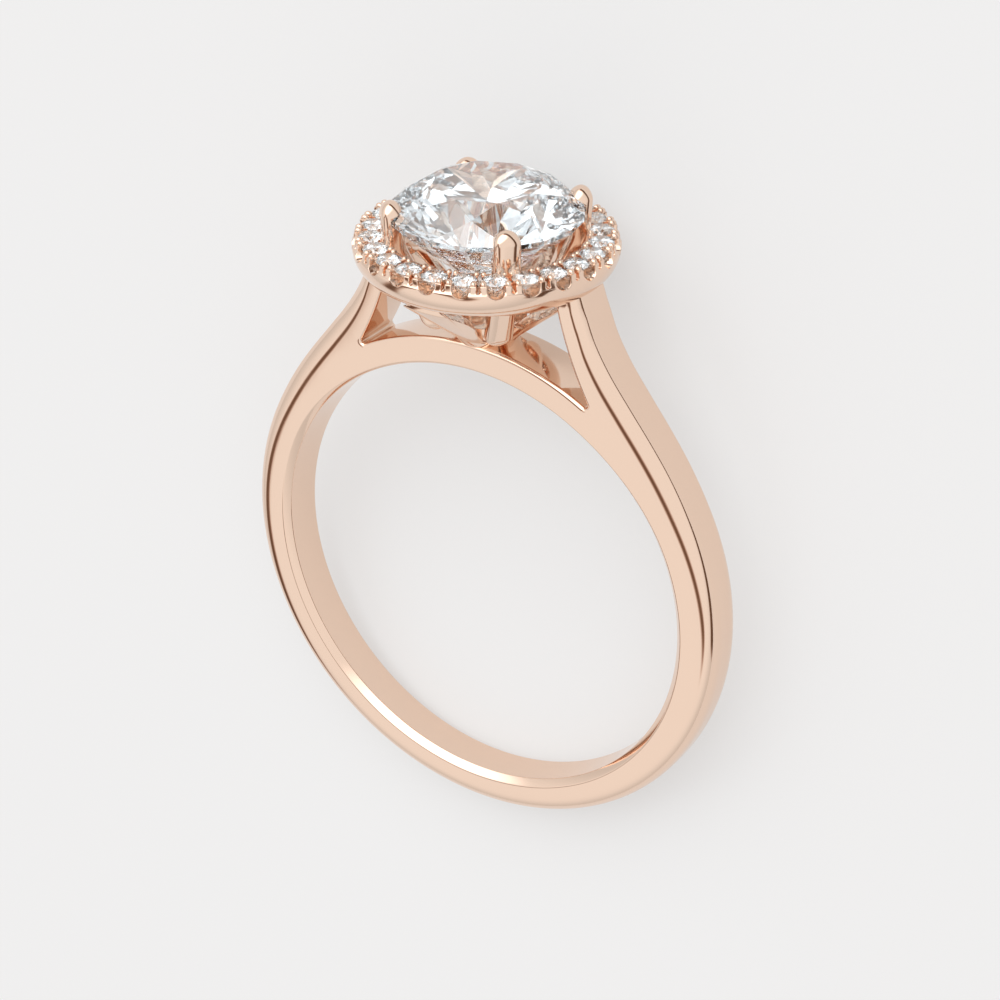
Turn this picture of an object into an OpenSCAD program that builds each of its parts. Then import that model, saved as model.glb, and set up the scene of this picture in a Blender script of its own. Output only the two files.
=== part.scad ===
// Halo ring: a round brilliant in four prongs, ringed by small stones, on cathedral shoulders.
// It is shaped as worn, with the finger along Y and the stones facing +Z, then laid on its side.

/* [Finger and band] */
// Inside diameter of the band
finger_d = 17.1; // [15:0.1:20]
// How far the finger hole sits below the middle of the band's outer circle
bore_drop = 0.12; // [0:0.02:0.2]
// Radial thickness of the band at its sides
band_t = 1.56; // [1.4:0.02:1.9]
// Width of the band at the bottom
band_bottom_w = 1.86; // [1.6:0.02:2.4]
// Width of the band beside the head
band_top_w = 2.16; // [1.8:0.02:2.6]
// Rounding of the band's outer corners at the bottom
bottom_corner_r = 0.84; // [0.6:0.02:0.88]
// How full that rounding is: 2 is round, more is squarer
bottom_fullness = 2.7; // [2:0.1:3]
// Bevel of the outer corners on the shoulders
shoulder_corner_r = 0.38; // [0.25:0.02:0.45]
// How full that bevel is: 1 is flat, 2 is round
shoulder_fullness = 1.3; // [1.1:0.1:2]
// Rounding of the two edges along the finger
edge_round = 0.34; // [0.2:0.01:0.4]
// The same rounding under the bridge
bridge_edge_r = 0.13; // [0.1:0.01:0.2]

/* [Shoulders and bridge] */
// Thickness of the bridge under the head
bridge_t = 0.88; // [0.7:0.02:1.1]
// Angle from the top at which the shoulders leave the band
shoulder_start = 68; // [60:1:75]
// Angle from the top at which each gap closes
gap_angle = 29.3; // [28:0.1:31]
// Thickness of a shoulder where it meets the halo
shoulder_t = 0.93; // [0.8:0.01:1.1]
// Radius of the closed end of each gap
gap_end_r = 0.17; // [0.12:0.01:0.22]
// How far a shoulder's inner side bows towards the head
gap_bow = 0.13; // [0:0.01:0.2]

/* [Halo] */
// Diameter of one halo stone
halo_stone_d = 0.95; // [0.9:0.01:1.05]
// Space between neighbouring halo stones
halo_stone_gap = 0.105; // [0.08:0.005:0.15]
// Height of the halo stones' girdles above the finger
halo_rise = 4.78; // [4.5:0.02:5.2]
// Metal outside the halo stones
halo_wall = 0.12; // [0.1:0.01:0.2]
// Metal inside the halo stones
halo_lip = 0.07; // [0.05:0.01:0.12]
// Depth of the halo from its top edge to its underside
halo_depth = 1.4; // [1.3:0.02:1.6]
// Height of the straight wall above the swelling lower band
halo_wall_h = 0.3; // [0.25:0.01:0.4]
// Swell of the lower band beyond the wall above it
halo_swell = 0.08; // [0.05:0.01:0.12]
// Radius of the U cut under each halo stone
u_cut_r = 0.31; // [0.25:0.01:0.36]
// Width of the slit between two beads
slit_w = 0.12; // [0.1:0.01:0.16]
// Radius of the pair of beads between two halo stones
bead_r = 0.2; // [0.18:0.01:0.23]

/* [Centre stone] */
// Diameter of the centre stone
centre_d = 6.9; // [6.5:0.1:7.2]
// Height of its girdle above the halo stones' girdles
centre_rise = 0.86; // [0.8:0.02:1.2]

/* [Prongs] */
// Width of a prong, seen from outside
prong_w = 0.96; // [0.8:0.02:1.1]
// Thickness of a prong, towards the stone
prong_t = 0.8; // [0.7:0.02:0.9]
// Rounding of a prong's long edges
prong_edge_r = 0.22; // [0.15:0.01:0.3]
// How deep the girdle sits in a prong's thickness
prong_bite = 0.46; // [0.3:0.02:0.5]
// Height of a prong's tip above the centre girdle
prong_rise = 0.62; // [0.5:0.02:0.75]
// Lean of a prong above the halo
prong_upper_lean = 7; // [5:0.5:10]
// Lean of a prong below the halo
prong_lower_lean = 24; // [22:0.5:26]

/* [Bowl] */
// Slope of the bowl's wall from the horizontal
bowl_slope = 39; // [37:0.5:41]
// Thickness of the bowl's wall
bowl_wall = 0.42; // [0.35:0.01:0.5]
// Radius of the bowl where it meets the bridge
bowl_foot_r = 0.98; // [0.9:0.02:1.05]
// Radius of the core that the prongs' feet stand on
core_r = 1.42; // [1.35:0.01:1.5]
// Height of that core above the bridge
core_h = 0.9; // [0.8:0.02:1]

/* [Fit of the stones] */
// Clearance between a stone and its seat
seat_gap = 0.02; // [0.015:0.005:0.03]

/* [Hidden] */
$fn = 48;

finger_r = finger_d / 2;
band_r = finger_r + band_t;
bridge_r = finger_r + bridge_t;
overlap = 0.05;
far = 2 * band_r;

// The halo stones stand on a circle as long as the stones and the spaces between them
halo_count = 24;
halo_pitch = 360 / halo_count;
halo_r = halo_count * (halo_stone_d + halo_stone_gap) / (2 * PI);
halo_z = finger_r + halo_rise;
halo_inner_r = halo_r - halo_stone_d / 2 - halo_lip;
halo_outer_r = halo_r + halo_stone_d / 2 + halo_wall;
halo_top_z = halo_z + 0.05 * halo_stone_d;
halo_crease_z = halo_top_z - halo_wall_h;
halo_bottom_z = halo_top_z - halo_depth;

// The lower band's outline is one arc, level at the bottom and widest just under the crease
swell_r = halo_depth - halo_wall_h - halo_swell;
swell_x = halo_outer_r + halo_swell - swell_r;
swell_z = halo_bottom_z + swell_r;

// Proportions of a round brilliant, as shares of its diameter
TABLE = 0.57;
CROWN = 0.145;
PAVILION = 0.43;
GIRDLE = 0.025;
STAR_TIP = 0.39;
LOWER_TIP = 0.115;

centre_r = centre_d / 2;
centre_z = halo_z + centre_rise;
table_r = centre_d * TABLE / 2;
table_z = centre_z + centre_d * (CROWN + GIRDLE / 2);

// A prong bends where it passes the halo's middle
prong_r = centre_r + prong_t / 2 - prong_bite;
bend_z = halo_z - 0.5 * halo_wall_h;
bend_r = prong_r - (centre_z - bend_z) * tan(prong_upper_lean);
foot_z = bridge_r + 0.5 * core_h;

bowl_top_z = halo_bottom_z + 2 * overlap;
bowl_top_r = swell_x + 0.2 * swell_r;

// Laid down, the ring touches the floor at the halo's swell and at the band's bottom corner
corner_y = band_bottom_w / 2 - bottom_corner_r;
corner_z = band_r - bottom_corner_r;
reach = corner_z + swell_z;
flare = swell_x - corner_y;
function lie_tilt_for(corner) = atan2(flare, reach) + asin((swell_r - corner) / norm([flare, reach]));
// How far a corner of this fullness reaches in the floor's direction
function corner_reach(tilt) = let (q = bottom_fullness / (bottom_fullness - 1))
    bottom_corner_r * pow(pow(cos(tilt), q) + pow(sin(tilt), q), 1 / q);
lie_tilt = lie_tilt_for(corner_reach(lie_tilt_for(bottom_corner_r)));
lie_corner = corner_reach(lie_tilt);
lie_lift = corner_y * cos(lie_tilt) + corner_z * sin(lie_tilt) + lie_corner;
lie_front = table_z * cos(lie_tilt) + table_r * sin(lie_tilt);
lie_back = corner_z * cos(lie_tilt) + corner_y * sin(lie_tilt) + lie_corner;

// Outline of the shoulders: share of the turn from the halo to the band, share of the rise
SHOULDER = [
    [0.00, 1.00], [0.09, 0.64], [0.20, 0.385], [0.34, 0.21], [0.49, 0.105], [0.66, 0.04], [0.82, 0.008], [1.00, 0.00]];
// Openings in the bowl: share of the height, half width as a share of the top radius
BOWL_OPENING = [[0.11, 0.00], [0.13, 0.08], [0.29, 0.165], [0.55, 0.236], [0.73, 0.34], [0.88, 0.50], [1.00, 0.60]];

function mix(a, b, t) = a + (b - a) * t;
function row_below(rows, x, i = 0) = i >= len(rows) - 2 || x < rows[i + 1][0] ? i : row_below(rows, x, i + 1);
function rise_at(rows, i) = let (a = max(i - 1, 0), b = min(i + 1, len(rows) - 1))
    (rows[b][1] - rows[a][1]) / (rows[b][0] - rows[a][0]);
// Smooth curve through the rows of a table
function curve(rows, x) = let (i = row_below(rows, x), w = rows[i + 1][0] - rows[i][0], t = (x - rows[i][0]) / w)
    (1 + 2 * t) * (1 - t) * (1 - t) * rows[i][1] + t * (1 - t) * (1 - t) * w * rise_at(rows, i)
    + t * t * (3 - 2 * t) * rows[i + 1][1] - t * t * (1 - t) * w * rise_at(rows, i + 1);

shoulder_top_x = swell_x + 0.8 * swell_r;
shoulder_top_z = halo_bottom_z - 0.2;
shoulder_top_r = norm([shoulder_top_x, shoulder_top_z]);
shoulder_top = atan2(shoulder_top_x, shoulder_top_z);
shoulder_end_z = halo_bottom_z + 0.4 * halo_depth;
gap_top_x = shoulder_top_x - shoulder_t;
steep = (SHOULDER[1][1] - SHOULDER[0][1]) / SHOULDER[1][0];

// Outer radius of the band at an angle from the top, shoulders included
function shoulder_share(a) = (a - shoulder_top) / (shoulder_start - shoulder_top);
function shoulder_r(a) = let (s = shoulder_share(a))
    band_r + (shoulder_top_r - band_r) * (s > 1 ? 0 : s < 0 ? 1 + 1.3 * steep * s : curve(SHOULDER, s));
function outer_r(a) = min(shoulder_end_z / max(cos(a), 0.1), shoulder_r(a));
function half_w(a) = mix(band_top_w, band_bottom_w, (1 - cos(a)) / 2) / 2;
function inner_r(a) = sqrt(pow(finger_r, 2) - pow(bore_drop * sin(a), 2)) - bore_drop * cos(a);

// The bevelled shoulders turn into the rounded band at its sides
bevel_end = 50;
round_start = 85;
function ease(t) = let (s = min(max(t, 0), 1)) s * s * (3 - 2 * s);
function roundness(a) = ease((a - bevel_end) / (round_start - bevel_end));
function corner_r(a) = mix(shoulder_corner_r, bottom_corner_r, roundness(a));
function fullness(a) = mix(shoulder_fullness, bottom_fullness, roundness(a));
function edge_r(a) = mix(bridge_edge_r, edge_round, ease((a - gap_angle) / (shoulder_start - gap_angle)));

CORNER_STEPS = 5;
EDGE_STEPS = 3;
// Half of a section, from the finger side to the middle of the outer face: [radius, half width]
function half_section(a) = let (
    w = half_w(a), r = outer_r(a), c = corner_r(a), p = 2 / fullness(a), e = edge_r(a), inner = inner_r(a)) concat(
    [[inner - 0.3 * e, w - 1.6 * e]],
    [for (i = [EDGE_STEPS - 1 : -1 : 0]) let (t = 90 * i / EDGE_STEPS) [inner + e - e * sin(t), w - e + e * cos(t)]],
    [for (i = [0 : CORNER_STEPS]) let (t = 90 * i / CORNER_STEPS)
        [r - c + c * pow(sin(t), p), w - c + c * pow(cos(t), p)]]);
function mirrored(half) = concat(half, [for (i = [len(half) - 1 : -1 : 0]) [half[i][0], -half[i][1]]]);

SHOULDER_STEP = 2.5;
BAND_STEP = 6;
GAP_STEPS = 12;
right_angles = concat(
    [for (a = [0 : SHOULDER_STEP : shoulder_start]) a],
    [for (a = [shoulder_start + SHOULDER_STEP : BAND_STEP : 180 - BAND_STEP / 2]) a], [180]);
angles = concat(right_angles, [for (i = [len(right_angles) - 2 : -1 : 1]) 360 - right_angles[i]]);

// The band, the bridge and both shoulders as one closed loft of sections
module band_loft() {
    sections = [for (a = angles) mirrored(half_section(a > 180 ? 360 - a : a))];
    n = len(sections[0]);
    m = len(angles);
    points = [for (k = [0 : m - 1]) for (p = sections[k]) [p[0] * sin(angles[k]), p[1], p[0] * cos(angles[k])]];
    polyhedron(points, [for (k = [0 : m - 1]) for (i = [0 : n - 1])
        let (next = (i + 1) % n, ahead = (k + 1) % m * n) each [
            [k * n + i, ahead + next, k * n + next], [k * n + i, ahead + i, ahead + next]]]);
}

// Both gaps between bridge, shoulders and head as one outline, each closed by a round end
module gap_outline() {
    end = (bridge_r + gap_end_r) * [sin(gap_angle), cos(gap_angle)];
    top = [gap_top_x, shoulder_top_z];
    along = (top - end) / norm(top - end);
    last_angle = gap_angle - asin(0.3 * gap_end_r / bridge_r);
    low = end + gap_end_r * [along[1], -along[0]];
    right = concat(
        [for (i = [0 : GAP_STEPS]) bridge_r * [sin(last_angle * i / GAP_STEPS), cos(last_angle * i / GAP_STEPS)]],
        [end],
        [for (i = [0 : GAP_STEPS / 2]) let (t = 2 * i / GAP_STEPS)
            mix(low, top, t) - [4 * gap_bow * t * (1 - t), 0]],
        [[gap_top_x, far]]);
    polygon(concat(right, [for (i = [len(right) - 1 : -1 : 1]) [-right[i][0], right[i][1]]]));
    for (side = [-1, 1]) translate([side * end[0], end[1]]) circle(gap_end_r);
}

module band() {
    difference() {
        band_loft();
        rotate([90, 0, 0]) linear_extrude(2 * band_top_w, center = true) gap_outline();
        translate([0, 0, -bore_drop]) rotate([90, 0, 0]) cylinder(h = far, r = finger_r, center = true, $fn = 128);
    }
}

// Turned ring with a straight upper wall and a swelling lower band
module halo_ring() {
    rotate_extrude($fn = 96) {
        translate([halo_inner_r, halo_crease_z - overlap])
            square([halo_outer_r - halo_inner_r, halo_wall_h + overlap]);
        intersection() {
            translate([swell_x, swell_z]) circle(swell_r);
            translate([halo_inner_r, halo_bottom_z - overlap])
                square([halo_depth, halo_crease_z - halo_bottom_z + overlap]);
        }
    }
}

// Room that a brilliant needs, its clearance included
module stone_room(d) {
    r = d / 2 + seat_gap;
    g = d * GIRDLE / 2 + seat_gap;
    rotate_extrude() polygon([
        [0, -g - d * PAVILION], [r, -g], [r, g], [d * TABLE / 2 + seat_gap, g + d * CROWN], [0, g + d * CROWN]]);
}

module at_halo(angle, r, z) {
    rotate(angle) translate([r, 0, z]) children();
}

module halo_seats() {
    for (k = [0 : halo_count - 1]) at_halo((k + 0.5) * halo_pitch, halo_r, halo_z) stone_room(halo_stone_d);
}

// Open U under each stone, cut straight in through the outer wall
module u_cuts() {
    for (k = [0 : halo_count - 1]) at_halo((k + 0.5) * halo_pitch, halo_r, halo_z - 0.25 * u_cut_r) {
        rotate([0, 90, 0]) cylinder(h = halo_stone_d, r = u_cut_r);
        translate([0, -u_cut_r, 0]) cube([halo_stone_d, 2 * u_cut_r, halo_stone_d]);
    }
}

module slits() {
    for (k = [0 : halo_count - 1]) at_halo(k * halo_pitch, halo_inner_r - overlap, halo_top_z - 0.6 * halo_wall_h)
        translate([0, -slit_w / 2, 0]) cube([halo_stone_d + halo_wall + 4 * overlap, slit_w, halo_stone_d]);
}

module beads() {
    for (k = [0 : halo_count - 1], side = [-0.36, 0.33])
        at_halo(k * halo_pitch, halo_r + side * halo_stone_d, halo_top_z) sphere(bead_r);
}

module halo() {
    difference() {
        union() {
            halo_ring();
            beads();
        }
        u_cuts();
        slits();
    }
}

module prong_section() {
    r = prong_edge_r;
    square([prong_t - 2 * r, prong_w], center = true);
    square([prong_t, prong_w - 2 * r], center = true);
    for (x = [-1, 1], y = [-1, 1]) translate([x * (prong_t / 2 - r), y * (prong_w / 2 - r)]) circle(r);
}

// Upright bar with a bullet tip, from the bend to above the girdle
module prong_upper() {
    h = (centre_z + prong_rise - bend_z) / cos(prong_upper_lean);
    cap = prong_w / 2;
    translate([bend_r, 0, bend_z]) rotate([0, prong_upper_lean, 0]) {
        linear_extrude(h - cap) prong_section();
        intersection() {
            linear_extrude(h) prong_section();
            translate([0, 0, h - cap]) sphere(cap);
        }
    }
}

// Leaning bar with a rounded foot, from the bend down to the core
module prong_lower() {
    h = (bend_z - foot_z) / cos(prong_lower_lean);
    translate([bend_r, 0, bend_z]) rotate([0, prong_lower_lean, 0]) {
        translate([0, 0, prong_w / 2 - h]) linear_extrude(h - prong_w / 2) prong_section();
        intersection() {
            translate([0, 0, -h]) linear_extrude(h) prong_section();
            translate([0, 0, prong_w / 2 - h]) rotate([0, 90, 0]) cylinder(h = prong_w, r = prong_w / 2, center = true);
        }
    }
}

module prong() {
    prong_upper();
    prong_lower();
    intersection() {
        translate([bend_r, 0, bend_z]) rotate([90, 0, 0]) cylinder(h = prong_w - 2 * prong_edge_r, r = prong_t / 2, center = true);
        translate([0, -prong_w / 2, 0]) cube([far, prong_w, far]);
    }
}

module prongs() {
    for (k = [0 : 3]) rotate(45 + 90 * k) prong();
}

// Bowl under the halo, cut open round each prong
module bowl() {
    run = 1 / tan(bowl_slope);
    slant_z = bridge_r + (bowl_top_r - bowl_foot_r) / run;
    in_x = bowl_wall / sin(bowl_slope);
    inner_top_z = min(slant_z - (bowl_top_r - in_x - halo_inner_r) / run, bowl_top_z);
    foot = bridge_r - 3 * overlap;
    difference() {
        rotate_extrude($fn = 96) polygon([
            [bowl_foot_r, foot], [bowl_foot_r, bridge_r], [bowl_top_r, slant_z], [bowl_top_r, bowl_top_z],
            [bowl_top_r - in_x, bowl_top_z], [bowl_top_r - in_x, slant_z], [bowl_foot_r - in_x + run * overlap, bridge_r + overlap],
            [bowl_foot_r - in_x + run * overlap, foot]]);
        for (k = [0 : 3]) rotate(45 + 90 * k) rotate([90, 0, 90]) linear_extrude(far) bowl_opening();
    }
    rotate_extrude($fn = 96) polygon([
        [0, foot], [bowl_foot_r, foot], [core_r, bridge_r + 0.5 * core_h], [core_r, bridge_r + core_h], [0, bridge_r + core_h]]);
}

module bowl_opening() {
    h = bowl_top_z - bridge_r;
    right = [for (p = BOWL_OPENING) [p[1] * bowl_top_r, bridge_r + p[0] * h]];
    top = bowl_top_z + halo_depth;
    polygon(concat(right, [[right[len(right) - 1][0], top], [-right[len(right) - 1][0], top]],
        [for (i = [len(right) - 1 : -1 : 1]) [-right[i][0], right[i][1]]]));
}

// Halo, bowl and prongs, with room for every stone
module head() {
    difference() {
        union() {
            halo();
            bowl();
            prongs();
        }
        translate([0, 0, centre_z]) stone_room(centre_d);
        halo_seats();
    }
}

// Round brilliant: eight-sided table, stars, kites, girdle and pavilion
module brilliant(d) {
    g = d * GIRDLE / 2;
    crown = d * CROWN;
    deep = d * PAVILION;
    r = d / 2;
    t = r * TABLE;
    star = d * STAR_TIP;
    low = d * LOWER_TIP;
    star_z = g + crown * (r - star * cos(22.5)) / (r - t);
    low_z = -g - deep * (1 - low * cos(22.5) / r);
    function ring(n, radius, z, turn) = [for (k = [0 : n - 1]) [radius * cos(turn + 360 * k / n), radius * sin(turn + 360 * k / n), z]];
    points = concat(ring(8, t, g + crown, 0), ring(8, star, star_z, 22.5), ring(16, r, g, 0), ring(16, r, -g, 0),
        ring(8, low, low_z, 22.5), [[0, 0, -g - deep]]);
    STAR = 8;
    UPPER = 16;
    LOWER = 32;
    TIP = 48;
    CULET = 56;
    faces = concat(
        [[for (k = [7 : -1 : 0]) k]],
        [for (k = [0 : 7]) let (next = (k + 1) % 8, mid = UPPER + 2 * k + 1, rim = UPPER + 2 * k, rim_next = UPPER + 2 * next)
            each [[k, next, STAR + k], [k, STAR + k, rim], [next, rim_next, STAR + k], [STAR + k, mid, rim], [STAR + k, rim_next, mid]]],
        [for (k = [0 : 15]) let (next = (k + 1) % 16)
            each [[UPPER + k, UPPER + next, LOWER + next], [UPPER + k, LOWER + next, LOWER + k]]],
        [for (k = [0 : 7]) let (next = (k + 1) % 8, mid = LOWER + 2 * k + 1, rim = LOWER + 2 * k, rim_next = LOWER + 2 * next)
            each [[TIP + k, rim, mid], [TIP + k, mid, rim_next], [TIP + k, CULET, rim], [TIP + k, rim_next, CULET]]]);
    polyhedron(points, faces);
}

// Turns the worn ring to its rest on the floor, origin under the middle of its box
module lay_down() {
    translate([0, (lie_back - lie_front) / 2, lie_lift]) rotate([lie_tilt - 90, 0, 0]) children();
}

module gold_setting() {
    color([0.87, 0.68, 0.56]) lay_down() {
        band();
        head();
    }
}

module centre_stone() {
    color([0.93, 0.95, 0.97]) lay_down() translate([0, 0, centre_z]) rotate(90) brilliant(centre_d);
}

module halo_stone(number) {
    color([0.93, 0.95, 0.97]) lay_down() at_halo((number - 0.5) * halo_pitch, halo_r, halo_z) brilliant(halo_stone_d);
}

gold_setting();
centre_stone();
halo_stone(1);  // halo_stone_01
halo_stone(2);  // halo_stone_02
halo_stone(3);  // halo_stone_03
halo_stone(4);  // halo_stone_04
halo_stone(5);  // halo_stone_05
halo_stone(6);  // halo_stone_06
halo_stone(7);  // halo_stone_07
halo_stone(8);  // halo_stone_08
halo_stone(9);  // halo_stone_09
halo_stone(10);  // halo_stone_10
halo_stone(11);  // halo_stone_11
halo_stone(12);  // halo_stone_12
halo_stone(13);  // halo_stone_13
halo_stone(14);  // halo_stone_14
halo_stone(15);  // halo_stone_15
halo_stone(16);  // halo_stone_16
halo_stone(17);  // halo_stone_17
halo_stone(18);  // halo_stone_18
halo_stone(19);  // halo_stone_19
halo_stone(20);  // halo_stone_20
halo_stone(21);  // halo_stone_21
halo_stone(22);  // halo_stone_22
halo_stone(23);  // halo_stone_23
halo_stone(24);  // halo_stone_24
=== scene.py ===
# %% [markdown]
# # A halo ring, laid on its side
# The ring is rose gold: a band whose two shoulders sweep up like arches, a turned halo that carries
# a circle of small cut stones, a petalled bowl, and four prongs that hold the large stone.
# Every shape is made as the ring is worn, in millimetres: finger along Y, stones up.
# One matrix then lays it on the floor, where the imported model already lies.

# %% Load the frame
import math

import bmesh
import bpy
from mathutils import Matrix, Vector


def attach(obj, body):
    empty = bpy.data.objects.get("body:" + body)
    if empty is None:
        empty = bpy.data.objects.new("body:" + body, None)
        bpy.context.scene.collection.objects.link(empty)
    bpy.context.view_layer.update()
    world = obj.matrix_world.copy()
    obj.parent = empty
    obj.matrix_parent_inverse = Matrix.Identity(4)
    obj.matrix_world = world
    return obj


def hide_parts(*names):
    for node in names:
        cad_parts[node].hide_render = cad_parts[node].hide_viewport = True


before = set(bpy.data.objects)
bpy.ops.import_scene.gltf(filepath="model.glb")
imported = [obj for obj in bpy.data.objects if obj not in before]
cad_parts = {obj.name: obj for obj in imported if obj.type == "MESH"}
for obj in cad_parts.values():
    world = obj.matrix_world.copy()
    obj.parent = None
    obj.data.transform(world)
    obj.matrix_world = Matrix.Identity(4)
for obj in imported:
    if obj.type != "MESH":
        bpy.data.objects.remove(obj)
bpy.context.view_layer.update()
print("CAD nodes:", len(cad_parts))

# %% [markdown]
# ## Sizes
# Most of these repeat the sizes of the source model, so that each visible piece lies where its solid
# lies. Only the finest edges have sizes of their own, as a mesh can carry them rounder.
# Radii and heights are measured from the middle of the band, and angles in degrees from its top.

# %% Sizes of the band, in millimetres
FINGER_R, BORE_DROP = 8.55, 0.12
BAND_T, BRIDGE_T = 1.56, 0.88
BAND_R, BRIDGE_R = FINGER_R + BAND_T, FINGER_R + BRIDGE_T
BAND_TOP_W, BAND_BOTTOM_W = 2.16, 1.86
CORNER_BOTTOM, CORNER_SHOULDER = 0.84, 0.38
FULL_BOTTOM = 2.7
EDGE_BAND, EDGE_BRIDGE = 0.26, 0.1
print("the band is", round(2 * BAND_R, 2), "mm across")

# %% Sizes of the halo
HALO_COUNT, HALO_STONE, STONE_SPACE, STONE_SINK = 24, 0.95, 0.105, 0.05
HALO_RISE, HALO_DEPTH, HALO_WALL_H = 4.78, 1.4, 0.3
HALO_LIP, HALO_WALL, HALO_SWELL = 0.07, 0.12, 0.08
HALO_R = HALO_COUNT * (HALO_STONE + STONE_SPACE) / math.tau
HALO_Z = FINGER_R + HALO_RISE
HALO_TOP = HALO_Z + STONE_SINK * HALO_STONE
HALO_IN = HALO_R - HALO_STONE / 2 - HALO_LIP
HALO_OUT = HALO_R + HALO_STONE / 2 + HALO_WALL
HALO_BOTTOM = HALO_TOP - HALO_DEPTH
CREASE_Z = HALO_TOP - HALO_WALL_H
SWELL_R = HALO_DEPTH - HALO_WALL_H - HALO_SWELL
SWELL_X = HALO_OUT + HALO_SWELL - SWELL_R
SWELL_Z = HALO_BOTTOM + SWELL_R
print("the halo is", round(2 * HALO_OUT, 2), "mm across")

# %% Size of the large stone, and the proportions of every stone
CENTRE_D, CENTRE_RISE = 6.9, 0.86
CENTRE_Z = HALO_Z + CENTRE_RISE
TABLE, CROWN, PAVILION, GIRDLE = 0.57, 0.145, 0.43, 0.025
print("its table is", round(CENTRE_D * TABLE, 2), "mm across")

# %% [markdown]
# ## How the ring lies
# A ring that lies on its side touches the floor with the rounded corner of its band and with the swell
# of its halo. It could be turned until it looks right, but the tilt follows from those two sizes.
# The corner isn't quite a circle, so its reach is found for a first tilt, and the tilt again from it.

# %% The matrix that lays the ring down
corner_y, corner_z = BAND_BOTTOM_W / 2 - CORNER_BOTTOM, BAND_R - CORNER_BOTTOM
reach, flare = corner_z + SWELL_Z, SWELL_X - corner_y


def tilt_for(corner):
    """The tilt at which a corner of this radius and the halo's swell both touch the floor."""
    return math.atan2(flare, reach) + math.asin((SWELL_R - corner) / math.hypot(flare, reach))


def corner_reach(tilt):
    """How far the band's rounded corner reaches towards the floor."""
    q = FULL_BOTTOM / (FULL_BOTTOM - 1)
    return CORNER_BOTTOM * (math.cos(tilt) ** q + math.sin(tilt) ** q) ** (1 / q)


TILT = tilt_for(corner_reach(tilt_for(CORNER_BOTTOM)))
corner = corner_reach(TILT)
table_r, table_z = CENTRE_D * TABLE / 2, CENTRE_Z + CENTRE_D * (CROWN + GIRDLE / 2)
lift = corner_y * math.cos(TILT) + corner_z * math.sin(TILT) + corner
front = table_z * math.cos(TILT) + table_r * math.sin(TILT)
back = corner_z * math.cos(TILT) + corner_y * math.sin(TILT) + corner
MILLIMETRE = 0.001
TURN = Matrix.Rotation(TILT - math.pi / 2, 4, "X")
LAY = Matrix.Scale(MILLIMETRE, 4) @ Matrix.Translation((0, (back - front) / 2, lift)) @ TURN
print("lies tilted by", round(math.degrees(TILT), 2), "degrees")

# %% [markdown]
# ## The camera
# A photograph of a jewel is taken from afar with a long lens, so lines stay nearly parallel.
# The camera is placed round the worn ring, 33 degrees aside and 29 degrees up, and laid down with it.

# %% Camera
AROUND, UP = math.radians(33.26), math.radians(28.98)
CAMERA_MM, LENS_MM = Vector((47.56, -71.67, 50.37)), 96.4
backward = Vector((math.sin(AROUND) * math.cos(UP), -math.cos(AROUND) * math.cos(UP), math.sin(UP)))
rightward = Vector((math.cos(AROUND), math.sin(AROUND), 0))
upward = backward.cross(rightward)
axes = Matrix((rightward, upward, backward)).transposed().to_4x4()

camera = bpy.data.objects.new("camera", bpy.data.cameras.new("camera"))
bpy.context.collection.objects.link(camera)
camera.matrix_world = Matrix.Translation(LAY @ CAMERA_MM) @ TURN @ axes
camera.data.lens = LENS_MM
camera.data.clip_start, camera.data.clip_end = 0.001, 10
bpy.context.scene.camera = camera
print("camera at", [round(c, 4) for c in camera.location])

# %% [markdown]
# ## Band and shoulders
# The real band is cast in one with its shoulders. A section could be swept along a curve object, but a
# sweep keeps one section all the way. So a rounded section is spun round the finger, and each of its
# rings is then stretched outward by a curve, until the shoulders rise from the band.
# The first helpers blend two values, ease a change in and out, and draw a curve through a few points.

# %% Blends and curves


def mix(a, b, t):
    return a + (b - a) * t


def ease(t):
    t = min(max(t, 0), 1)
    return t * t * (3 - 2 * t)


def curve(rows, x):
    """A smooth curve through the rows of a table."""
    i = max(k for k in range(len(rows) - 1) if rows[k][0] <= max(x, rows[0][0]))

    def slope(k):
        a, b = rows[max(k - 1, 0)], rows[min(k + 1, len(rows) - 1)]
        return (b[1] - a[1]) / (b[0] - a[0])

    w = rows[i + 1][0] - rows[i][0]
    t = (x - rows[i][0]) / w
    return ((1 + 2 * t) * (1 - t) ** 2 * rows[i][1] + t * (1 - t) ** 2 * w * slope(i)
            + t * t * (3 - 2 * t) * rows[i + 1][1] - t * t * (1 - t) * w * slope(i + 1))


print("a quarter of the way, eased:", ease(0.25))

# %% The shoulders' outer line and the finger hole
SHOULDER = [(0, 1), (0.09, 0.64), (0.2, 0.385), (0.34, 0.21),
            (0.49, 0.105), (0.66, 0.04), (0.82, 0.008), (1, 0)]
SHOULDER_START, SHOULDER_T = 68, 0.93
SHOULDER_OUT, SHOULDER_UNDER, SHOULDER_INTO, SHOULDER_STEEPER = 0.8, 0.2, 0.56, 1.3
shoulder_x, shoulder_z = SWELL_X + SHOULDER_OUT * SWELL_R, HALO_BOTTOM - SHOULDER_UNDER
SHOULDER_TOP_R = math.hypot(shoulder_x, shoulder_z)
SHOULDER_TOP = math.degrees(math.atan2(shoulder_x, shoulder_z))


def outer_radius(angle):
    """Radius of the outer side, which runs straight on into the halo above the shoulder's top."""
    share = (angle - SHOULDER_TOP) / (SHOULDER_START - SHOULDER_TOP)
    if share > 1:
        return BAND_R
    steep = (SHOULDER[1][1] - SHOULDER[0][1]) / SHOULDER[1][0]
    rise = curve(SHOULDER, share) if share >= 0 else 1 + SHOULDER_STEEPER * steep * share
    inside_halo = (HALO_BOTTOM + SHOULDER_INTO) / math.cos(math.radians(angle))
    return min(inside_halo, BAND_R + (SHOULDER_TOP_R - BAND_R) * rise)


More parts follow.
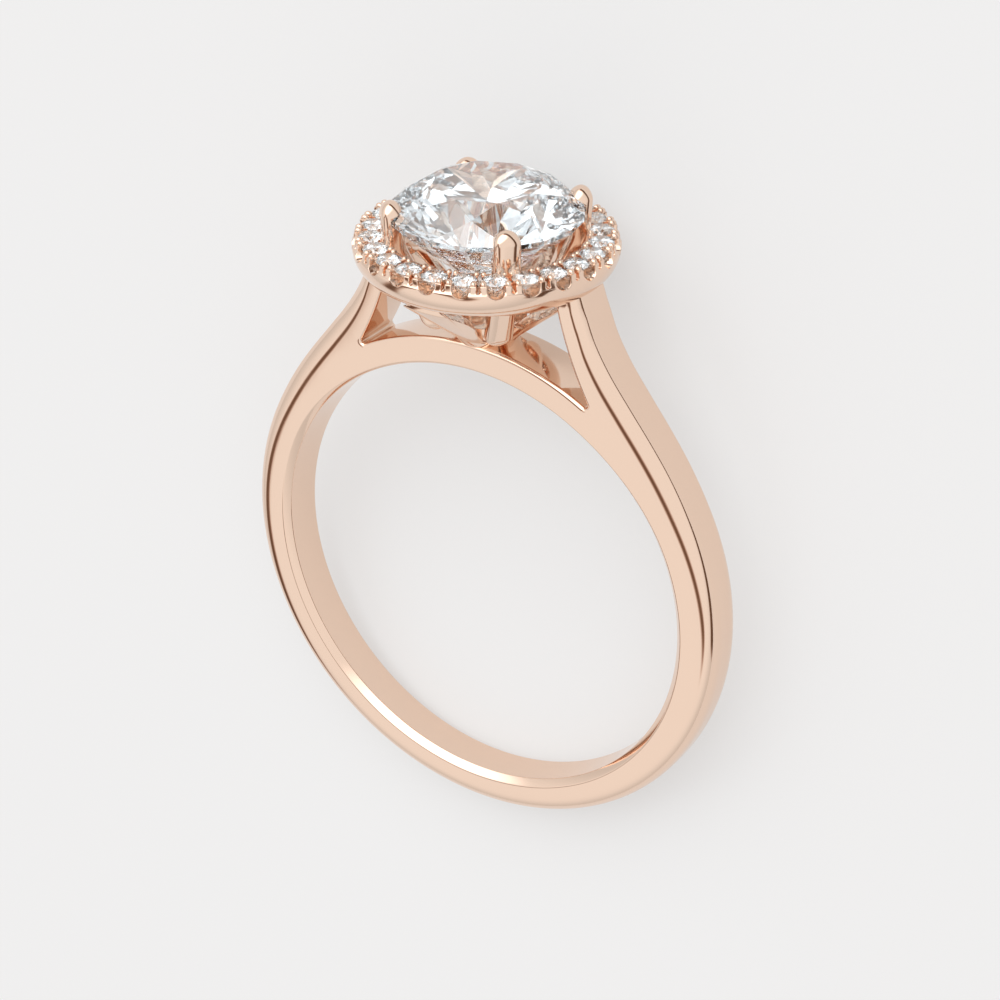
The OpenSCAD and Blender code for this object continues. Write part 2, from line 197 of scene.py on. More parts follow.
def inner_radius(angle):
    """Radius of the finger hole, whose middle lies a little below the band's."""
    a = math.radians(angle)
    return math.sqrt(FINGER_R ** 2 - (BORE_DROP * math.sin(a)) ** 2) - BORE_DROP * math.cos(a)


print("the shoulders meet the halo", round(SHOULDER_TOP, 1), "degrees from the top")

# %% The section of the band
EDGE_POINTS, CORNER_POINTS = 11, 21
HALF_POINTS = EDGE_POINTS + CORNER_POINTS + 1
WIDE_FILLET, OUTER_FILLET, FINE_FILLET = 1.05, 0.2, 0.1
FILLET_SHARE, CREST_SHARE = 0.475, 0.3
ROUND_FROM, ROUND_OVER = 50, 35
GAP_ANGLE = 29.3


def bevel_point(t, size, first, second):
    """A 45 degree bevel whose two ends are filleted: depth and inset of its point at t."""
    if t > 0.5:
        return bevel_point(1 - t, size, second, first)[::-1]
    turn = math.radians(45) * min(t / FILLET_SHARE, 1)
    return size + first * (math.tan(math.radians(22.5)) - math.sin(turn)), first * (1 - math.cos(turn))


def section_point(place, angle):
    """Radius and half width of one point of the half section, at an angle from the top."""
    down = (1 - math.cos(math.radians(angle))) / 2
    r, w = outer_radius(angle), mix(BAND_TOP_W, BAND_BOTTOM_W, down) / 2
    if place < EDGE_POINTS:
        edge = mix(EDGE_BRIDGE, EDGE_BAND, ease((angle - GAP_ANGLE) / (SHOULDER_START - GAP_ANGLE)))
        depth, inset = bevel_point(1 - place / (EDGE_POINTS - 1), edge, FINE_FILLET, FINE_FILLET)
        return inner_radius(angle) + depth, w - inset
    t = (place - EDGE_POINTS) / (CORNER_POINTS - 1)
    if t > 1:
        return r, (w - CORNER_BOTTOM) * CREST_SHARE
    # the shoulders are bevelled, and the bevel opens into one rounding at the band's sides
    rounded = ease((angle - ROUND_FROM) / ROUND_OVER)
    turn, power = math.pi / 2 * t, 2 / FULL_BOTTOM
    arc = (CORNER_BOTTOM * (1 - math.sin(turn) ** power), CORNER_BOTTOM * (1 - math.cos(turn) ** power))
    depth, inset = bevel_point(t, CORNER_SHOULDER, WIDE_FILLET, OUTER_FILLET)
    return r - mix(depth, arc[0], rounded), w - mix(inset, arc[1], rounded)


def band_point(place, around):
    """One point of the whole section. Places below zero mirror the others across the band."""
    r, w = section_point(place if place >= 0 else -place - 1, abs(math.degrees(around)))
    return r * math.sin(around), math.copysign(w, place), r * math.cos(around)


print("points in the section:", 2 * HALF_POINTS)

# %% Helpers that spin a line and make an object


def spin_line(bm, line, axis, steps):
    """Joins points into a closed line and spins it once round an axis."""
    edges = [bm.edges.new((line[i], line[(i + 1) % len(line)])) for i in range(len(line))]
    bmesh.ops.spin(bm, geom=line + edges, cent=(0, 0, 0), axis=axis, angle=math.tau,
                   steps=steps, use_merge=True)


def link_piece(name, bm):
    """Turns a drawn mesh into an object of the scene."""
    bmesh.ops.recalc_face_normals(bm, faces=bm.faces)
    mesh = bpy.data.meshes.new(name)
    bm.to_mesh(mesh)
    bm.free()
    piece = bpy.data.objects.new(name, mesh)
    bpy.context.collection.objects.link(piece)
    print(name, "is drawn with", len(mesh.polygons), "faces")
    return piece


# %% Spin the band and stretch its rings
BAND_STEPS = 480
bm = bmesh.new()
place_of = bm.verts.layers.int.new("place")
ring = []
for place in [*range(HALF_POINTS), *range(-HALF_POINTS, 0)]:
    v = bm.verts.new(band_point(place, math.pi))
    v[place_of] = place
    ring.append(v)
spin_line(bm, ring, (0, 1, 0), BAND_STEPS)
for v in bm.verts:
    v.co = band_point(v[place_of], math.atan2(v.co.x, v.co.z))
band = link_piece("band", bm)

# %% [markdown]
# ## The open gaps under the shoulders
# A jeweller saws each gap out and files its rim round, because only a rounded rim catches a line of
# light. A bevel after the cut could do that, but it tears easily where a long rim is curved both ways.
# So the cutter itself has the rounding: its outline follows the bridge, a small arc at each end and the
# shoulders' inner lines, and near both faces of the band it opens a little wider with each step.

# %% Outline of the gaps
GAP_END_R, GAP_BOW = 0.17, 0.13
BRIDGE_FROM, BRIDGE_STEPS, END_STEPS, SIDE_STEPS = 89, 24, 12, 16
GAP_TOP_X, ABOVE_BAND = shoulder_x - SHOULDER_T, 14.5
turn = math.radians(GAP_ANGLE)
gap_end = Vector((math.sin(turn), math.cos(turn))) * (BRIDGE_R + GAP_END_R)
gap_top = Vector((GAP_TOP_X, shoulder_z))
along = (gap_top - gap_end).normalized()
gap_low = gap_end + GAP_END_R * Vector((along.y, -along.x))


def gap_side(z):
    """How far the shoulder's inner side stands from the middle, at a height."""
    share = (z - gap_low.y) / (gap_top.y - gap_low.y)
    bow = GAP_BOW * 4 * share * (1 - share) if 0 < share < 1 else 0
    return mix(gap_low.x, gap_top.x, min(share, 1)) - bow


def round_points(middle, radius, first, last, steps):
    """Points on an arc of a flat drawing, from one angle to another."""
    turns = [math.radians(mix(first, last, k / steps)) for k in range(steps + 1)]
    return [(middle[0] + radius * math.cos(a), middle[1] + radius * math.sin(a)) for a in turns]


end_angle = math.degrees(math.atan2(-along.x, along.y))
right = round_points((0, 0), BRIDGE_R, BRIDGE_FROM, 90 - GAP_ANGLE, BRIDGE_STEPS)[:-1]
right += round_points(gap_end, GAP_END_R, -90 - GAP_ANGLE, end_angle, END_STEPS)
heights = [mix(gap_low.y, gap_top.y, k / SIDE_STEPS) for k in range(1, SIDE_STEPS + 1)]
right += [(gap_side(z), z) for z in heights]
right += [(GAP_TOP_X, ABOVE_BAND)]
outline = [Vector(p) for p in right + [(-x, z) for x, z in reversed(right)]]
print("points round the gaps:", len(outline))

# %% Push the outline through the band
RIM_R, RIM_IN, RIM_STEPS = 0.16, 0.06, 6
RIM_TURN, CUT_DEPTH = math.radians(82), 1.5


def rim_point(index, step):
    """One point of the gap's outline, moved outwards where a step lies near a face of the band."""
    here = outline[index]
    ahead = (outline[(index + 1) % len(outline)] - outline[index - 1]).normalized()
    face = mix(BAND_TOP_W, BAND_BOTTOM_W, (1 - here.normalized().y) / 2) / 2
    turn = RIM_TURN * (abs(step) - 1) / RIM_STEPS
    depth, wider = face - RIM_R + RIM_R * math.sin(turn), RIM_R * (1 - math.cos(turn)) - RIM_IN
    if abs(step) > RIM_STEPS + 1:
        depth, wider = CUT_DEPTH, RIM_R - RIM_IN
    x, z = here + wider * Vector((ahead.y, -ahead.x))
    return x, math.copysign(depth, step), z


bm = bmesh.new()
index_of = bm.verts.layers.int.new("index")
steps = [s for s in range(-RIM_STEPS - 2, RIM_STEPS + 3) if s]
rim = [bm.verts.new(rim_point(k, steps[0])) for k in range(len(outline))]
for k, v in enumerate(rim):
    v[index_of] = k
last = bm.faces.new(rim)
for step in steps[1:]:
    made = bmesh.ops.extrude_face_region(bm, geom=[last])["geom"]
    if step > steps[1]:
        bmesh.ops.delete(bm, geom=[last], context="FACES_ONLY")
    last = [g for g in made if isinstance(g, bmesh.types.BMFace)][0]
    for v in last.verts:
        v.co = rim_point(v[index_of], step)
gap_cutter = link_piece("gap_cutter", bm)

# %% Saw out the gaps
SLIVER = 0.0005


def cut(piece, cutter):
    """Takes the cutter's shape away from a piece, and clears the slivers that a cut leaves."""
    step = piece.modifiers.new("boolean", "BOOLEAN")
    step.operation, step.object, step.solver, step.use_self = "DIFFERENCE", cutter, "EXACT", True
    evaluated = piece.evaluated_get(bpy.context.evaluated_depsgraph_get())
    mesh = bpy.data.meshes.new_from_object(evaluated)
    piece.modifiers.clear()
    bm = bmesh.new()
    bm.from_mesh(mesh)
    bmesh.ops.dissolve_degenerate(bm, edges=bm.edges[:], dist=SLIVER)
    bm.to_mesh(mesh)
    bm.free()
    old, cutter_mesh = piece.data, cutter.data
    piece.data = mesh
    print(piece.name, "minus", cutter.name, len(old.polygons), "->", len(mesh.polygons), "faces")
    bpy.data.meshes.remove(old)
    bpy.data.objects.remove(cutter)
    bpy.data.meshes.remove(cutter_mesh)


cut(band, gap_cutter)

# %% [markdown]
# ## The halo
# The halo is turned on a lathe: a straight wall above, and below a crease a swelling band. It could be
# built up from a collar round each stone, but one turned profile keeps its wall true all the way.
# Then a U is cut under each stone, so that light reaches it, a slit parts the metal between two stones,
# and each stone gets a seat. Last, every sharp rim is broken with a fine bevel.

# %% Turn the halo
HALO_STEPS, SWELL_STEPS = 240, 22
CHAMFER, CREASE_OPEN, CREASE_OUT, CREASE_LIP = 0.02, 0.1, 0.055, 0.01
INNER_W, INNER_H = 0.1, 0.12
SAME_POINT = 0.0001


def spun(profile, steps):
    """A closed solid turned from a few profile points given as (radius, height)."""
    bm = bmesh.new()
    spin_line(bm, [bm.verts.new((r, 0, z)) for r, z in profile], (0, 0, 1), steps)
    bmesh.ops.remove_doubles(bm, verts=bm.verts, dist=SAME_POINT)
    return bm


crease_angle = math.degrees(math.asin((CREASE_Z - SWELL_Z) / SWELL_R))
profile = [(HALO_IN, HALO_TOP), (HALO_OUT - CHAMFER, HALO_TOP), (HALO_OUT, HALO_TOP - CHAMFER),
           (HALO_OUT, CREASE_Z + CREASE_OPEN), (HALO_OUT + CREASE_OUT, CREASE_Z + CREASE_LIP)]
profile += round_points((SWELL_X, SWELL_Z), SWELL_R, crease_angle, -90, SWELL_STEPS)
profile += [(HALO_IN + INNER_W, HALO_BOTTOM + CHAMFER), (HALO_IN, HALO_BOTTOM + INNER_H)]
halo = link_piece("halo", spun(profile, HALO_STEPS))

# %% Helpers that copy a shape round the head and place a box
STEP = math.tau / HALO_COUNT
CUTTER = 1


def verts_of(geom):
    return [g for g in geom if isinstance(g, bmesh.types.BMVert)]


def repeated(bm, count, first_turn):
    """Copies a shape round the large stone's axis."""
    bmesh.ops.rotate(bm, verts=bm.verts, cent=(0, 0, 0), matrix=Matrix.Rotation(first_turn, 3, "Z"))
    source = bm.verts[:] + bm.edges[:] + bm.faces[:]
    for k in range(1, count):
        made = bmesh.ops.duplicate(bm, geom=source)["geom"]
        turn = Matrix.Rotation(k * math.tau / count, 3, "Z")
        bmesh.ops.rotate(bm, verts=verts_of(made), cent=(0, 0, 0), matrix=turn)
    print("copied round to", count, "places")


def box(bm, middle, sizes):
    place = Matrix.Translation(middle) @ Matrix.Diagonal((*sizes, 1))
    bmesh.ops.create_cube(bm, size=1, matrix=place)


# %% Cut a U under each stone
U_R, U_RISE, U_FLAT, U_SEGMENTS = 0.31, 0.08, 0.002, 10
U_BOTTOM = HALO_Z - U_RISE - U_R
bm = bmesh.new()
box(bm, (HALO_R + CUTTER / 2, 0, U_BOTTOM + CUTTER / 2), (CUTTER, 2 * U_R, CUTTER))
low = [e for e in bm.edges if all(v.co.z < U_BOTTOM + U_R for v in e.verts)]
bottom = [e for e in low if abs(e.verts[0].co.x - e.verts[1].co.x) > CUTTER / 2]
bmesh.ops.bevel(bm, geom=bottom, offset=U_R - U_FLAT, offset_type="OFFSET", segments=U_SEGMENTS,
                profile=0.5, affect="EDGES", material=-1)
repeated(bm, HALO_COUNT, STEP / 2)
cut(halo, link_piece("u_cutters", bm))

# %% Cut a slit between two stones
SLIT_W, SLIT_DEPTH, SLIT_LONG, SLIT_OUT, SLIT_END_R = 0.12, 0.18, 1.5, 0.02, 0.085
SLIT_BOTTOM = HALO_TOP - SLIT_DEPTH
bm = bmesh.new()
box(bm, (HALO_R + SLIT_OUT, 0, SLIT_BOTTOM + CUTTER / 2), (SLIT_LONG, SLIT_W, CUTTER))
lying = Matrix.Translation((HALO_R + SLIT_OUT, 0, SLIT_BOTTOM)) @ Matrix.Rotation(math.pi / 2, 4, "Y")
bmesh.ops.create_cone(bm, cap_ends=True, segments=14, radius1=SLIT_END_R, radius2=SLIT_END_R,
                      depth=SLIT_LONG, matrix=lying)
repeated(bm, HALO_COUNT, 0)
cut(halo, link_piece("slit_cutters", bm))

# %% Cut the stones' seats
SEAT_GAP, SEAT_STEPS = 0.02, 24


def stone_room(diameter, steps):
    """The room a brilliant needs, turned from its outline, with its clearance."""
    r, girdle = diameter / 2 + SEAT_GAP, diameter * GIRDLE / 2 + SEAT_GAP
    table, top = diameter * TABLE / 2 + SEAT_GAP, girdle + diameter * CROWN
    return spun([(0, -girdle - diameter * PAVILION), (r, -girdle), (r, girdle), (table, top), (0, top)],
                steps)


bm = stone_room(HALO_STONE, SEAT_STEPS)
bmesh.ops.translate(bm, vec=(HALO_R, 0, HALO_Z), verts=bm.verts)
repeated(bm, HALO_COUNT, STEP / 2)
cut(halo, link_piece("seat_cutters", bm))

# %% Break the halo's rims
RIM_BEVEL, RIM_SHARP = 0.022, 40


def bevel_sharp(piece, width, angle, where=None):
    """Bevels the edges that are sharper than an angle, all of them or those a test picks."""
    bm = bmesh.new()
    bm.from_mesh(piece.data)
    bmesh.ops.remove_doubles(bm, verts=bm.verts, dist=SLIVER)
    sharp = [e for e in bm.edges if e.is_manifold and e.calc_face_angle(0) > math.radians(angle)
             and (where is None or where(e))]
    bmesh.ops.bevel(bm, geom=sharp, offset=width, offset_type="OFFSET", segments=2, profile=0.5,
                    affect="EDGES", clamp_overlap=False, material=-1)
    bm.to_mesh(piece.data)
    bm.free()
    print(piece.name, "has", len(sharp), "bevelled edges")


bevel_sharp(halo, RIM_BEVEL, RIM_SHARP)

# %% [markdown]
# ## The beads
# Beside each slit the metal is pushed over the stones as tiny beads, two outside and two inside.
# They could be raised from the halo's own mesh, but a sphere is round at once. Four spheres are
# stretched a little, set beside one slit, and copied round.

# %% Beads on the halo
OUTER_BEAD = (HALO_OUT - 0.17, 0.165, 0.135, HALO_TOP + 0.02)
INNER_BEAD = (HALO_IN + 0.12, 0.12, 0.11, HALO_TOP + 0.01)
BEAD_STRETCH = Matrix.Diagonal((1.15, 0.85, 0.95, 1))
bm = bmesh.new()
for radius, aside, size, top in (OUTER_BEAD, INNER_BEAD):
    for side in (-1, 1):
        place = Matrix.Translation((radius, side * aside, top)) @ BEAD_STRETCH
        bmesh.ops.create_uvsphere(bm, u_segments=16, v_segments=10, radius=size, matrix=place)
repeated(bm, HALO_COUNT, 0)
beads = link_piece("beads", bm)

# %% [markdown]
# ## The prongs
# A prong is a rod with flattened sides and a round tip. It could be a box with bevelled edges, but
# a sphere has the tip at once. So a sphere is pressed towards a rectangle, drawn out into a rod, bent
# where it passes the halo, and leant outwards.

# %% Sizes of the prongs
PRONG_COUNT, PRONG_W, PRONG_T, PRONG_BITE, PRONG_RISE = 4, 0.96, 0.8, 0.46, 0.66
PRONG_R = CENTRE_D / 2 + PRONG_T / 2 - PRONG_BITE
PRONG_TOP, TOP_CAP = CENTRE_Z + PRONG_RISE, 0.5
FOOT_Z, FOOT_CAP = BRIDGE_R + 0.45, 0.44
LOWER_LEAN, UPPER_LEAN, MEAN_LEAN = [math.tan(math.radians(a)) for a in (24, 3.5, 7)]
BEND_Z, BEND_LENGTH = HALO_Z - 0.15, 1
BEND_R = PRONG_R - (CENTRE_Z - BEND_Z) * MEAN_LEAN
BEND_CUTS = (0.72, 0.42, 0.17, 0.07, -0.03, -0.13, -0.23, -0.48, -1.18, -2.18)
ROUND_POWER, SQUARE_POWER = 2, 3.4
print("a prong is", round(PRONG_TOP - FOOT_Z, 2), "mm high")

# %% Press a sphere and draw it out


def pressed(x, y, power):
    """Moves a point of the unit circle out towards the unit square."""
    grow = (abs(x) ** power + abs(y) ** power) ** (-1 / power)
    return x * grow, y * grow


bm = bmesh.new()
bmesh.ops.create_uvsphere(bm, u_segments=64, v_segments=40, radius=1)
for v in bm.verts:
    flat = math.hypot(v.co.x, v.co.y)
    if flat > 1e-6:
        # the tip stays round, and the rod below it is squared
        power = mix(ROUND_POWER, SQUARE_POWER, flat ** 5)
        x, y = pressed(v.co.x / flat, v.co.y / flat, power)
        v.co.x, v.co.y = x * flat, y * flat
for v in bm.verts:
    v.co.x *= PRONG_T / 2
    v.co.y *= PRONG_W / 2
    v.co.z = PRONG_TOP - TOP_CAP * (1 - v.co.z) if v.co.z > 0.001 else FOOT_Z + FOOT_CAP * (1 + v.co.z)
print("a straight prong has", len(bm.faces), "faces")

# %% Bend the prong and copy it round
for above in BEND_CUTS:
    bmesh.ops.bisect_plane(bm, geom=bm.verts[:] + bm.edges[:] + bm.faces[:],
                           plane_co=(0, 0, BEND_Z + above), plane_no=(0, 0, 1))
for v in bm.verts:
    above = v.co.z - BEND_Z
    v.co.x += BEND_R + above * mix(LOWER_LEAN, UPPER_LEAN, ease(above / BEND_LENGTH + 0.5))
repeated(bm, PRONG_COUNT, math.pi / PRONG_COUNT)
prongs = link_piece("prongs", bm)

# %% Notch the prongs for the large stone
NOTCH_STEPS = 96
bm = stone_room(CENTRE_D, NOTCH_STEPS)
bmesh.ops.translate(bm, vec=(0, 0, CENTRE_Z), verts=bm.verts)
cut(prongs, link_piece("stone_cutter", bm))

# %% [markdown]
# ## The bowl
# Under the halo sits a bowl whose wall is opened round each prong, so that four petals are left.
# The petals could be drawn one by one, but a turned wall with four openings stays even all round.
# The openings are cut with one flat shape, which is pushed outward through the wall at each prong.

# %% Turn the bowl
SLOPE = math.radians(39)
BOWL_FOOT, BOWL_WALL, BOWL_STEPS = 0.98, 0.42, 160
BOWL_TOP_Z, BOWL_TOP_R = HALO_BOTTOM + 0.1, SWELL_X + 0.2 * SWELL_R
FOOT_SUNK, OUTER_KNEE, INNER_KNEE = 0.15, 0.02, 0.05
run = 1 / math.tan(SLOPE)
slant_z = BRIDGE_R + (BOWL_TOP_R - BOWL_FOOT) / run
thick = BOWL_WALL / math.sin(SLOPE)
foot, inner_foot = BRIDGE_R - FOOT_SUNK, BOWL_FOOT - thick + run * INNER_KNEE
bowl = link_piece("bowl", spun([
    (BOWL_FOOT, foot), (BOWL_FOOT, BRIDGE_R + OUTER_KNEE), (BOWL_TOP_R, slant_z),
    (BOWL_TOP_R, BOWL_TOP_Z), (BOWL_TOP_R - thick, BOWL_TOP_Z), (BOWL_TOP_R - thick, slant_z),
    (inner_foot, BRIDGE_R + INNER_KNEE), (inner_foot, foot)], BOWL_STEPS))

# %% Open the bowl round each prong
BOWL_OPENING = [(0.11, 0), (0.13, 0.08), (0.29, 0.165), (0.55, 0.236),
                (0.73, 0.34), (0.88, 0.5), (1, 0.6)]
OPEN_ABOVE, OPEN_LONG, OPEN_LEAST = 1.3, 8, 0.02
bm = bmesh.new()
bmesh.ops.create_grid(bm, x_segments=2, y_segments=24, size=1)
span = BOWL_TOP_Z - BRIDGE_R
for v in bm.verts:
    share = mix(BOWL_OPENING[0][0], OPEN_ABOVE, (v.co.y + 1) / 2)
    half = BOWL_OPENING[-1][1] if share > 1 else max(curve(BOWL_OPENING, share), OPEN_LEAST)
    v.co = (0, v.co.x * half * BOWL_TOP_R, BRIDGE_R + share * span)
wall = bmesh.ops.extrude_face_region(bm, geom=bm.faces[:])["geom"]
bmesh.ops.translate(bm, vec=(OPEN_LONG, 0, 0), verts=verts_of(wall))
repeated(bm, PRONG_COUNT, math.pi / PRONG_COUNT)
cut(bowl, link_piece("opening_cutters", bm))
PETAL_BEVEL = 0.04
bevel_sharp(bowl, PETAL_BEVEL, RIM_SHARP)

# %% [markdown]
# ## The core
# Inside the bowl the prongs' feet stand on a small solid core. It could be left out, as it hardly
# shows, but between the petals one looks down on it, so it is turned too and its rim is broken.

# %% Turn the core
CORE_R, CORE_H, CORE_STEPS = 1.42, 0.9, 96
CORE_BEVEL, CORE_SHARP = 0.06, 30
core_top = BRIDGE_R + CORE_H
core = link_piece("core", spun([
    (0, foot), (BOWL_FOOT, foot), (CORE_R, BRIDGE_R + CORE_H / 2), (CORE_R, core_top),
    (0, core_top)], CORE_STEPS))
bevel_sharp(core, CORE_BEVEL, CORE_SHARP, where=lambda e: e.verts[0].co.z > BRIDGE_R + CORE_H / 4)

# %% [markdown]
# ## Finishes
# Polished rose gold is a mirror with a warm tint. One even value of roughness would do from afar, but
# near by it looks like plastic. What tells gold from plastic is in the small things: faint hair
# scratches, a roughness that varies, and a slightly softer sheen in places. A node group makes them
# from noise, so that any polished finish can share it.

# %% Shared effect: fine wear of a polish


def fill(node, values):
    """Sets the inputs of a node by their names."""
    for name, value in values.items():
        node.inputs[name].default_value = value


wear = bpy.data.node_groups.new("polish_wear", "ShaderNodeTree")
wear.interface.new_socket("Scale", in_out="INPUT", socket_type="NodeSocketFloat").default_value = 1
wear.interface.new_socket("Roughness", in_out="OUTPUT", socket_type="NodeSocketFloat")
wear.interface.new_socket("Height", in_out="OUTPUT", socket_type="NodeSocketFloat")
group_in, group_out = wear.nodes.new("NodeGroupInput"), wear.nodes.new("NodeGroupOutput")
coordinates = wear.nodes.new("ShaderNodeTexCoord")
streaks = wear.nodes.new("ShaderNodeMapping")
fill(streaks, {"Scale": (4000, 900, 2600)})
scratches = wear.nodes.new("ShaderNodeTexNoise")
fill(scratches, {"Scale": 1, "Detail": 3})
patches = wear.nodes.new("ShaderNodeTexNoise")
fill(patches, {"Detail": 3})
grain = wear.nodes.new("ShaderNodeMath")
grain.operation, grain.inputs[1].default_value = "MULTIPLY", 320
spread = wear.nodes.new("ShaderNodeMapRange")
fill(spread, {"From Min": 0.3, "From Max": 0.7, "To Min": 0.04, "To Max": 0.13})
for start, end in ((coordinates.outputs["Object"], streaks.inputs["Vector"]),
                   (streaks.outputs["Vector"], scratches.inputs["Vector"]),
                   (coordinates.outputs["Object"], patches.inputs["Vector"]),
                   (group_in.outputs["Scale"], grain.inputs[0]),
                   (grain.outputs[0], patches.inputs["Scale"]),
                   (patches.outputs["Fac"], spread.inputs["Value"]),
                   (spread.outputs["Result"], group_out.inputs["Roughness"]),
                   (scratches.outputs["Fac"], group_out.inputs["Height"])):
    wear.links.new(start, end)
print("polish_wear has", len(wear.nodes), "nodes")

# %% Rose gold


def new_material(name, values):
    """A material whose shader's inputs are set by their names."""
    material = bpy.data.materials.new(name)
    material.use_nodes = True
    fill(material.node_tree.nodes["Principled BSDF"], values)
    return material


rose_gold = new_material("rose_gold", {"Base Color": (0.86, 0.645, 0.51, 1), "Metallic": 1})
nodes, links = rose_gold.node_tree.nodes, rose_gold.node_tree.links
shader = nodes["Principled BSDF"]
polish = nodes.new("ShaderNodeGroup")
polish.node_tree = wear
bump = nodes.new("ShaderNodeBump")
fill(bump, {"Strength": 0.05, "Distance": 0.00001})
links.new(polish.outputs["Roughness"], shader.inputs["Roughness"])
links.new(polish.outputs["Height"], bump.inputs["Height"])
links.new(bump.outputs["Normal"], shader.inputs["Normal"])
print("rose_gold has", len(nodes), "nodes")

# %% [markdown]
# ## Lay the gold pieces down
# So far each piece stands as worn, in millimetres. The matrix lays it down, in metres. Each piece then
# rides on the only body, the solid setting of the source model is hidden, and each takes the rose gold
# finish.
# Faces that meet at a small angle are shaded as one, so that a curve of many faces looks smooth.

# %% Hand the gold pieces to the frame
SMOOTH_BELOW = math.radians(32)


def gold_piece(piece, material):
    piece.data.transform(LAY)
    piece.data.materials.clear()
    piece.data.materials.append(material)
    piece.data.polygons.foreach_set("use_smooth", [True] * len(piece.data.polygons))
    piece.data.set_sharp_from_angle(angle=SMOOTH_BELOW)
    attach(piece, "root")
    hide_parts("gold_setting")
    print(piece.name, len(piece.data.polygons), "faces")


for piece in (band, halo, beads, prongs, bowl, core):
    gold_piece(piece, rose_gold)

# %% [markdown]
# ## The stones
# The source model already has every facet of a round brilliant, so those nodes stay and only get
# their finish: clear, with the strong bending of light that makes a cut stone sparkle. Among so much
# warm metal a colourless stone looks pink, so a slight blue tint and a small mirrored part keep it white.

# %% Cut stone
cut_stone = new_material("cut_stone", {
    "Base Color": (0.89, 0.96, 1, 1), "Roughness": 0, "IOR": 2.42, "Transmission Weight": 1,
    "Metallic": 0.06})
stones = [node for name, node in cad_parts.items() if name != "gold_setting"]
for stone in stones:
    stone.data.materials.clear()
    stone.data.materials.append(cut_stone)
    stone.data.polygons.foreach_set("use_smooth", [False] * len(stone.data.polygons))
print("cut stones:", len(stones))

# %% [markdown]
# ## The floor
# The ring lies on paper that looks white. It is a grey that glows a little, as paper does on a light
# table. A strong lamp could whiten it too, but that lamp would show in every polished side of the ring.
# The paper is drawn in metres at once, as it isn't laid down with the ring.

# %% Floor
PAPER_R, PAPER_GREY, PAPER_GLOW = 0.4, 0.35, 0.47
bm = bmesh.new()
bmesh.ops.create_circle(bm, cap_ends=True, segments=96, radius=PAPER_R)
floor = link_piece("floor", bm)
floor.data.materials.append(new_material("paper", {
    "Base Color": (PAPER_GREY, PAPER_GREY, PAPER_GREY, 1), "Emission Color": (1, 1, 1, 1),
    "Emission Strength": PAPER_GLOW, "Roughness": 1, "Specular IOR Level": 0}))

# %% [markdown]
# ## The sky
# Polished metal shows only what surrounds it. Lamps and dark boards could stand round the ring, but one
# sky made of nodes is quicker to change and has no hard edges. Each of its parts is a fade along one
# direction: 0 on one side of a limit, 1 on the other, and soft between.

# %% Nodes of the sky
scene = bpy.context.scene
scene.world = bpy.data.worlds.new("sky")
scene.world.use_nodes = True
nodes, links = scene.world.node_tree.nodes, scene.world.node_tree.links
sky = nodes["Background"]
direction = nodes.new("ShaderNodeTexCoord")


def faded(value, zero, one):
    """0 where the value passes the first limit, 1 where it passes the second."""
    step = nodes.new("ShaderNodeMapRange")
    step.interpolation_type = "SMOOTHSTEP"
    links.new(value, step.inputs["Value"])
    fill(step, {"From Min": zero, "From Max": one})
    return step.outputs["Result"]


def towards(x, y, z):
    """How far each direction of the sky agrees with one direction, 1 where they are the same."""
    dot = nodes.new("ShaderNodeVectorMath")
    dot.operation = "DOT_PRODUCT"
    links.new(direction.outputs["Generated"], dot.inputs[0])
    dot.inputs[1].default_value = Vector((x, y, z)).normalized()
    return dot.outputs["Value"]


def combined(operation, a, b=0):
    """One step of arithmetic on parts of the sky, each of them a number or an output."""
    step = nodes.new("ShaderNodeMath")
    step.operation = operation
    for socket, value in zip(step.inputs, (a, b)):
        if isinstance(value, (int, float)):
            socket.default_value = value
        else:
            links.new(value, socket)
    return step.outputs["Value"]


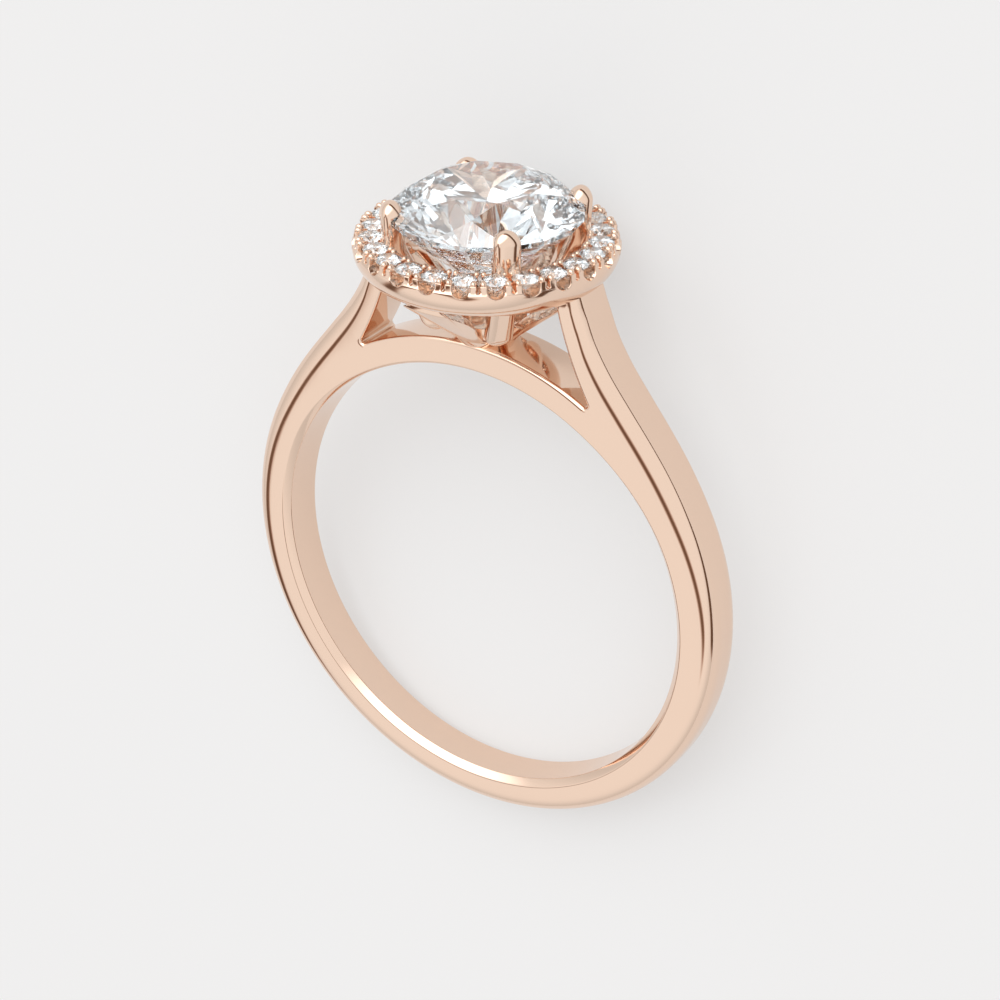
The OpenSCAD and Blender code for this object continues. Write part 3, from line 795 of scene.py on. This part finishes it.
# %% Bright parts: a pale dome, and one soft lamp high on the side where the stones point
HORIZON, ZENITH, LAMP, LAMP_AT = 0.72, 1, 1.35, (-0.1, 0.7, 0.7)
height = towards(0, 0, 1)
dome = nodes.new("ShaderNodeMapRange")
links.new(faded(height, 0, 0.6), dome.inputs["Value"])
fill(dome, {"To Min": HORIZON, "To Max": ZENITH})
lamp = combined("MULTIPLY", faded(towards(*LAMP_AT), 0.7, 0.95), LAMP)
bright = combined("ADD", dome.outputs["Result"], lamp)
print("nodes for the bright parts:", len(nodes))

# %% [markdown]
# The studio has dark parts too, and they draw the lines on the gold. Where a bevel turns from one
# bright side to the other it sweeps over a dark bar, and a thin dark line is left. One bar hangs
# above the ring, one stands at its left, and wide low doors stand at its right, where the stones point.
# The dark parts are brown and not grey, since the dark lines of real gold are warm too.

# %% Dark parts: two bars and the doors
DARKEST, BROWN = 0.82, (1, 0.6, 0.42, 1)
BAR_CORE, BAR_ENDS, DOORS_AT = 0.04, (0.8, 0.88), (0.8, 0.6, 0)


def bar(across, shift, wide, middle):
    """A long dark bar of the sky, seen on edge along one direction, round its middle."""
    off = combined("ABSOLUTE", combined("SUBTRACT", towards(*across), shift))
    return combined("MULTIPLY", faded(off, wide, BAR_CORE), faded(towards(*middle), *BAR_ENDS))


ceiling = bar((0.812, 0.537, 0.229), 0.045, 0.22, (-0.05, -0.3, 0.95))
screen = bar((0.601, -0.746, 0.284), 0.11, 0.14, (-0.7, -0.42, 0.55))
doors = combined("MULTIPLY", faded(towards(*DOORS_AT), 0.25, 0.35), faded(height, 0.3, 0.22))
dark = combined("MAXIMUM", combined("MAXIMUM", ceiling, screen), doors)
left_over = combined("SUBTRACT", 1, combined("MULTIPLY", dark, DARKEST))
tint = nodes.new("ShaderNodeMix")
tint.data_type = "RGBA"
fill(tint, {"A": (1, 1, 1, 1), "B": BROWN})
links.new(dark, tint.inputs["Factor"])
links.new(tint.outputs["Result"], sky.inputs["Color"])
links.new(combined("MULTIPLY", bright, left_over), sky.inputs["Strength"])
print("nodes of the whole sky:", len(nodes))

# %% Colour, and how often light may bounce
scene.view_settings.view_transform = "Standard"
scene.cycles.max_bounces = 32
scene.cycles.transmission_bounces = 24
scene.cycles.glossy_bounces = 24
print("light may bounce", scene.cycles.max_bounces, "times")
